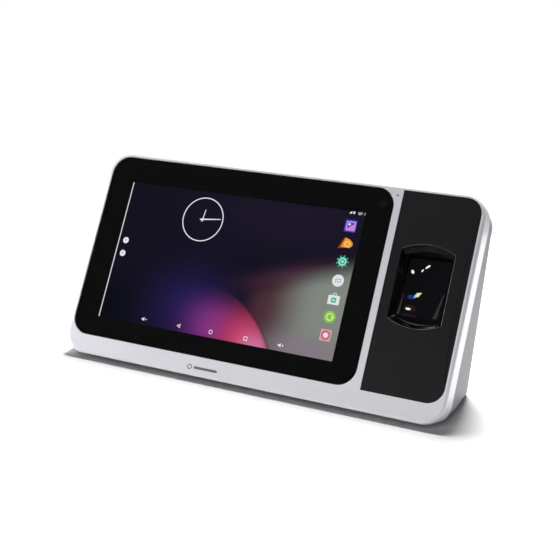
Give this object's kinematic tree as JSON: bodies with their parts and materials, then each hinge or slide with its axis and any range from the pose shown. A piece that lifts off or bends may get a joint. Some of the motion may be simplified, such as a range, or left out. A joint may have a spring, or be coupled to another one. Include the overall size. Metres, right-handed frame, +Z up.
{
  "type": "fingerprint scanner terminal",
  "caption": "Desk terminal with a leaning white frame, a black touch display, a recessed finger reader beside it, a grey rear shell with side sockets and a rear stand.",
  "frame": {"origin": "centre of the bounding box at desk level", "axes": "+X to the right of someone facing the display, +Y away from them, +Z up"},
  "size_m": [0.24, 0.0872, 0.1106],
  "materials": {
    "bezel_white": "smooth satin white moulding",
    "shell_grey": "fine-grained grey moulding",
    "cover_glass": "polished cover glass",
    "print_black": "black print behind the glass",
    "display_film": "lit display face",
    "sensor_film": "clear touch film",
    "reader_black": "satin black moulding",
    "guide_black": "smooth black moulding",
    "prism_glass": "polished optical glass",
    "lens_glass": "polished lens glass",
    "frame_steel": "plain sheet steel",
    "screw_steel": "zinc plated screws",
    "socket_steel": "bright plated socket shell",
    "socket_black": "black socket moulding",
    "board_green": "green solder mask",
    "chip_black": "black epoxy package",
    "contact_brass": "plated contacts",
    "standoff_brass": "turned brass",
    "cell_steel": "bright cell can",
    "battery_wrap": "shrink wrap sleeve",
    "foam_black": "closed-cell foam",
    "foot_rubber": "soft black rubber",
    "ribbon_amber": "polyimide ribbon",
    "speaker_black": "speaker box moulding",
    "button_grey": "grey button cap",
    "antenna_film": "antenna film",
    "lamp_clear": "clear lamp package"
  },
  "bodies": {
    "terminal": {"front_bezel": "bezel_white", "touch_glass": "cover_glass", "glass_mask": "print_black", "touch_sensor": "sensor_film", "lcd_panel": "display_film", "lcd_back_tray": "frame_steel", "lcd_foam": "foam_black", "mid_frame": "frame_steel", "reader_panel": "reader_black", "finger_guide": "guide_black", "scanner_prism": "prism_glass", "optics_housing": "socket_black", "reader_light_board": "board_green", "reader_leds": "lamp_clear", "reader_lens_barrel": "chip_black", "reader_lens": "lens_glass", "reader_image_board": "board_green", "reader_image_chip": "chip_black", "main_board": "board_green", "board_standoffs": "standoff_brass", "processor": "chip_black", "memory_chips": "chip_black", "shield_can": "frame_steel", "wireless_module": "socket_steel", "coin_cell_holder": "socket_black", "coin_cell": "cell_steel", "board_connectors": "socket_black", "dc_inlet": "socket_black", "dc_inlet_pin": "contact_brass", "network_jack": "socket_steel", "network_contacts": "contact_brass", "usb_socket": "socket_steel", "usb_tongue": "socket_black", "micro_usb_socket": "socket_steel", "audio_jack": "socket_black", "side_switches": "socket_black", "lcd_ribbon": "ribbon_amber", "touch_ribbon": "ribbon_amber", "reader_ribbon": "ribbon_amber", "battery_pack": "battery_wrap", "speaker": "speaker_black", "speaker_gasket": "foam_black", "speaker_bracket": "socket_black", "mic_gasket": "foam_black", "microphone": "socket_steel", "camera_module": "socket_black", "camera_lens": "lens_glass", "wifi_antenna": "antenna_film", "rear_housing": "shell_grey", "rear_stand": "shell_grey", "housing_screws": "screw_steel", "frame_screws": "screw_steel", "board_screws": "screw_steel", "stand_screws": "screw_steel", "front_feet": "foot_rubber", "rear_feet": "foot_rubber"},
    "power_key": {"power_button": "button_grey", "power_plunger": "socket_black"},
    "reset_key": {"reset_plunger": "socket_black"}
  },
  "joints": [
    {"name": "power_press", "type": "slide", "parent": "terminal", "child": "power_key", "axis": [1, 0, 0], "range_m": [0, 0.0006], "stiffness_N_per_m": 800},
    {"name": "reset_press", "type": "slide", "parent": "terminal", "child": "reset_key", "axis": [1, 0, 0], "range_m": [0, 0.0003], "stiffness_N_per_m": 1000}
  ]
}
